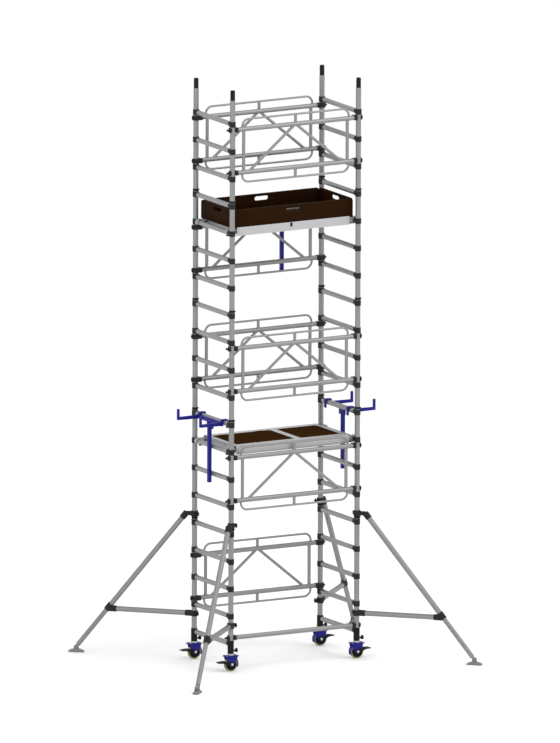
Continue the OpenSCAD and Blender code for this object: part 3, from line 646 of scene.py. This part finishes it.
print("four casters in place")

# %% [markdown]
# Each stem lock is a lever that a thumb pulls, so it ends in a pad that is taller than the lever. A
# turned plunger runs from it into the socket, and still bridges the gap when the lock is released.

# %% Thumb pads of the stem locks
pad_outline = [                          # X from the stem's axis, Z from the floor
    (0.046, 0.170), (0.064, 0.167), (0.0685, 0.175), (0.0685, 0.198), (0.062, 0.206), (0.046, 0.203),
]
PAD_Y = (-0.011, 0.007)
PLUNGER_R, PLUNGER_X, PLUNGER_Z = 0.0045, (0.0215, 0.048), 0.185
plunger = disc("plunger", PLUNGER_R, PLUNGER_X[0], PLUNGER_X[1], 24)
plunger.data.transform(Matrix.Rotation(math.radians(-90), 4, "Z"))
plunger.data.transform(Matrix.Translation((0, sum(PAD_Y) / 2, PLUNGER_Z)))
pad_master = join("pad", [plate("pad", pad_outline, PAD_Y[0], PAD_Y[1], 0.0020), plunger])
pads = []
for corner in range(1, 5):
    stem_x, stem_y = JOINT[f"caster_{corner}_swivel"]["pos_m"][:2]
    pads.append(placed_copy(pad_master, "pad_copy", Matrix.Translation((stem_x, stem_y, 0))))
hand_over(join("stem_lock_pads", pads), black_finish, BODY["stem_locks"], "black_part")
bpy.data.objects.remove(pad_master)
print("four thumb pads in place")

# %% [markdown]
# ## Cradle brackets
# A bracket is welded from square tube: a bar along the rung, a leg down from it and two arms with
# upturned tips. Two bent straps hang it on the rung. Each part is cut to its own outline, drawn about
# the rung's axis, and the bracket is then placed three times.

# %% Cradle brackets
HANG, STRAP_T, STRAP_LOW, STRAP_HALF_W = 0.0225, 0.010, -0.050, 0.018
BAR_LOW, BAR_HIGH, BAR_OUT, BAR_HALF_L = -0.027, 0.009, 0.0485, 0.230
ARM_REACH, ARM_HALF_W, ARM_AT, TIP_TOP = 0.256, 0.0105, 0.205, 0.076
ARM_IN, TIP_IN = BAR_OUT - 0.002, ARM_REACH - 0.021
BEND_R = 0.006                           # of the lower corner of an arm's tip
LEG_DEPTH, LEG_HALF_W = 0.032, 0.016
GUSSET_IN, GUSSET_OUT, GUSSET_DROP, GUSSET_HALF_L = HANG + 0.0005, HANG + 0.018, 0.055, 0.050
NODE_TIP, NODE_STRAP_T = 0.065, 0.008    # the plain bracket's tip over the rung's axis, and its strap

low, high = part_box("right_bracket")
leg_low = low.z - (high.z - NODE_TIP)
arm_profile = (
    [(ARM_IN, BAR_LOW), (ARM_REACH - BEND_R, BAR_LOW + 0.003)]
    + arc(ARM_REACH - BEND_R, BAR_LOW + 0.009, BEND_R, -90, 0, 4)
    + [(ARM_REACH, TIP_TOP), (TIP_IN, TIP_TOP), (TIP_IN, 0.003), (ARM_IN, BAR_HIGH - 0.003)]
)
strap_profile = (
    [(HANG + STRAP_T, BAR_LOW + 0.010)] + arc(HANG, HANG, STRAP_T, 0, 90, 6)
    + arc(-HANG, HANG, STRAP_T, 90, 180, 6)
    + [(-HANG - STRAP_T, STRAP_LOW + 0.002), (-HANG - STRAP_T + 0.003, STRAP_LOW),
       (-HANG, STRAP_LOW), (-HANG, HANG), (HANG, HANG), (HANG, BAR_LOW + 0.010)]
)


def box_outline(x_from, x_to, z_from, z_to):
    """The four corners of an upright rectangle."""
    return [(x_from, z_from), (x_to, z_from), (x_to, z_to), (x_from, z_to)]


bar_outline = box_outline(HANG, BAR_OUT, BAR_LOW, BAR_HIGH)
leg_outline = box_outline(HANG, HANG + LEG_DEPTH, leg_low, BAR_LOW + 0.001)
gusset_outline = box_outline(GUSSET_IN, GUSSET_OUT, BAR_LOW - GUSSET_DROP, BAR_LOW + 0.002)
bracket_parts = [
    plate("bar", bar_outline, -BAR_HALF_L, BAR_HALF_L, edge=0.0030),
    plate("leg", leg_outline, -LEG_HALF_W, LEG_HALF_W, edge=0.0026),
    plate("gusset", gusset_outline, -GUSSET_HALF_L, GUSSET_HALF_L, edge=0.0012),
]
for middle in (-ARM_AT, ARM_AT):
    bracket_parts += [
        plate("arm", arm_profile, middle - ARM_HALF_W, middle + ARM_HALF_W, edge=0.0022),
        plate("strap", strap_profile, middle - STRAP_HALF_W, middle + STRAP_HALF_W, edge=0.0014),
    ]
bracket_master = join("bracket", bracket_parts)
for node, turn in (("right_bracket", 0), ("back_bracket", 90), ("left_bracket", 180)):
    low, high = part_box(node)
    out = Vector((math.cos(math.radians(turn)), math.sin(math.radians(turn)), 0))
    hub = (low + high) / 2 - out * (ARM_REACH - HANG - NODE_STRAP_T) / 2
    hub.z = high.z - NODE_TIP
    place = Matrix.Translation(hub) @ Matrix.Rotation(math.radians(turn), 4, "Z")
    piece = placed_copy(bracket_master, node + "_welded", place)
    hand_over(piece, blue_finish, BODY[node], SLOT[node], node)
bpy.data.objects.remove(bracket_master)
print("three brackets, legs down to", round(1000 * leg_low), "mm")

# %% [markdown]
# ## Star knobs
# Each stabiliser clamp is tightened by hand with a moulded knob of five lobes. The outline is one
# formula: a circle whose radius swells five times. Its bolt closes the clamp's collar, beside
# the arm, so it swings with the stabiliser.

# %% Star knobs
LOBES, KNOB_R, LOBE_H, KNOB_STEPS = 5, 0.019, 0.0045, 80
KNOB_REACH = (0.044, 0.056)               # from the upright's axis
KNOB_TURN = math.radians(45)              # from the line to the tower's middle
COLLAR_H = 0.050                          # of the upper clamp's collar, which its knob closes
BOSS_R, BOSS_FROM, BOSS_TO, BOSS_EDGE = 0.009, 0.030, 0.0595, 0.0015
star = []
for k in range(KNOB_STEPS):
    angle = 2 * math.pi * k / KNOB_STEPS
    reach = KNOB_R + LOBE_H * math.cos(LOBES * angle)
    star.append((reach * math.cos(angle), reach * math.sin(angle)))
knob_master = join("knob", [
    plate("star", star, KNOB_REACH[0], KNOB_REACH[1], edge=0.0022),
    lathe("boss", [(0, BOSS_FROM), (BOSS_R, BOSS_FROM), (BOSS_R, BOSS_TO - BOSS_EDGE),
                   (BOSS_R - 0.002, BOSS_TO), (0, BOSS_TO)], 32),
])
for corner in range(1, 5):
    swing = Vector(JOINT[f"stabiliser_{corner}_swing"]["pos_m"])
    clamp_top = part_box(f"stabiliser_{corner}_clamps")[1].z
    toward_tower = math.atan2(-math.copysign(1, swing.y), -math.copysign(1, swing.x))
    knobs = []
    for height in (swing.z, clamp_top - COLLAR_H / 2):
        place = (Matrix.Translation((swing.x, swing.y, height))
                 @ Matrix.Rotation(toward_tower - KNOB_TURN - math.pi / 2, 4, "Z"))
        knobs.append(placed_copy(knob_master, "knob_copy", place))
    piece = join(f"stabiliser_{corner}_knobs", knobs)
    hand_over(piece, black_finish, f"stabiliser_{corner}", "black_part")
bpy.data.objects.remove(knob_master)
print("eight knobs in place")

# %% [markdown]
# ## Weld beads
# Every upright and strut of a brace frame is welded to a round rail, so its bead is not a flat
# ring but a saddle. A thin torus is the start. Each of its points is then lifted or lowered to where
# the rail's surface is, at that distance from the rail's middle.

# %% Weld beads on the braces
RAIL_R, POST_R, STRUT_R, BOW_R = 0.021, 0.015, 0.0135, 0.0095
BOW_SPAN = 0.0995                        # from a rail's axis to the outer edge of its bow
UPRIGHT_TO_RAIL, UPRIGHT_TO_POST, UPRIGHT_TO_BOW = 0.052, 0.115, 0.100
BEAD, RIPPLES, RIPPLE_H = 0.0022, 9, 0.12    # radius of a bead, and its ripples round a tube
BEAD_OUT = 0.4 * BEAD                    # from the tube's wall to the middle of the bead


def saddle_bead(tube_r, up):
    """A weld bead round an upright tube of that radius, on the top or the underside of a rail."""
    bpy.ops.object.select_all(action="DESELECT")
    bpy.ops.mesh.primitive_torus_add(
        major_radius=tube_r + BEAD_OUT, minor_radius=BEAD, major_segments=32, minor_segments=8)
    piece = bpy.context.object
    for point in piece.data.vertices:
        ripple = 1 + RIPPLE_H * math.sin(RIPPLES * math.atan2(point.co.y, point.co.x))
        point.co.z = up * (point.co.z * ripple + math.sqrt(max(0, RAIL_R ** 2 - point.co.y ** 2)))
    bpy.ops.object.mode_set(mode="EDIT")
    bpy.ops.mesh.select_all(action="SELECT")
    bpy.ops.mesh.normals_make_consistent(inside=False)
    bpy.ops.object.mode_set(mode="OBJECT")
    bpy.ops.object.shade_smooth()
    return piece


bead_masters = {(radius, up): saddle_bead(radius, up)
                for radius in (POST_R, STRUT_R, BOW_R) for up in (-1, 1)}
brace_nodes = [f"front_brace_{k}" for k in (1, 2, 3)] + [f"back_brace_{k}" for k in (1, 2, 3, 4)]
beads = []
for node in brace_nodes:
    low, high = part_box(node)
    side_y = (low.y + high.y) / 2
    post_x = high.x + UPRIGHT_TO_RAIL - UPRIGHT_TO_POST
    bow_x = high.x + UPRIGHT_TO_RAIL - UPRIGHT_TO_BOW
    for rail_z, inner in ((low.z + BOW_SPAN, 1), (high.z - BOW_SPAN, -1)):
        spots = [(POST_R, inner, -post_x), (POST_R, inner, post_x), (STRUT_R, -inner, 0),
                 (BOW_R, -inner, -bow_x), (BOW_R, -inner, bow_x)]
        for radius, up, x in spots:
            place = Matrix.Translation((x, side_y, rail_z))
            beads.append(placed_copy(bead_masters[radius, up], "bead", place))
hand_over(join("brace_welds", beads), stabiliser_finish, "tower", "brace_tube")
for master in bead_masters.values():
    bpy.data.objects.remove(master)
print("weld beads:", len(beads))

# %% [markdown]
# ## Screws and the deck clip
# The plywood is screwed down along its edges with countersunk heads. The front beam of the upper
# platform carries a small black clip at its middle.

# %% Deck screws and beam clip
SCREW_R, SCREW_IN, SCREW_GAP = 0.0045, 0.014, 0.16
screw_master = lathe("screw", [(0, -0.002), (0.003, -0.002), (SCREW_R, 0.0002), (SCREW_R * 0.9, 0.0006),
                               (0.0024, 0.0006), (0.0018, -0.0006), (0, -0.0006)], 16)
screw_master.data.transform(LAY_DOWN)
for level in ("lower", "upper"):
    for node in (f"{level}_deck_panel", f"{level}_trapdoor"):
        low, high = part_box(node)
        count = max(2, round((high.x - low.x) / SCREW_GAP))
        pitch = (high.x - low.x - 2 * SCREW_IN) / (count - 1)
        spots = [(low.x + SCREW_IN + pitch * k, y)
                 for k in range(count) for y in (low.y + SCREW_IN, high.y - SCREW_IN)]
        screws = [placed_copy(screw_master, "screw_copy", Matrix.Translation((x, y, high.z)))
                  for x, y in spots]
        hand_over(join(node + "_screws", screws), zinc_finish, BODY[node], "zinc")
bpy.data.objects.remove(screw_master)

low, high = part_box("upper_platform_frame")
CLIP_X, CLIP_HALF_W, CLIP_DROP = -0.020, 0.010, (0.040, 0.004)    # drop below the beam's top
clip_outline = box_outline(CLIP_X - CLIP_HALF_W, CLIP_X + CLIP_HALF_W,
                           high.z - CLIP_DROP[0], high.z - CLIP_DROP[1])
clip = plate("beam_clip", clip_outline, low.y - 0.004, low.y + 0.002, edge=0.0012)
hand_over(clip, black_finish, "tower", "black_part")
print("screws and clip in place")
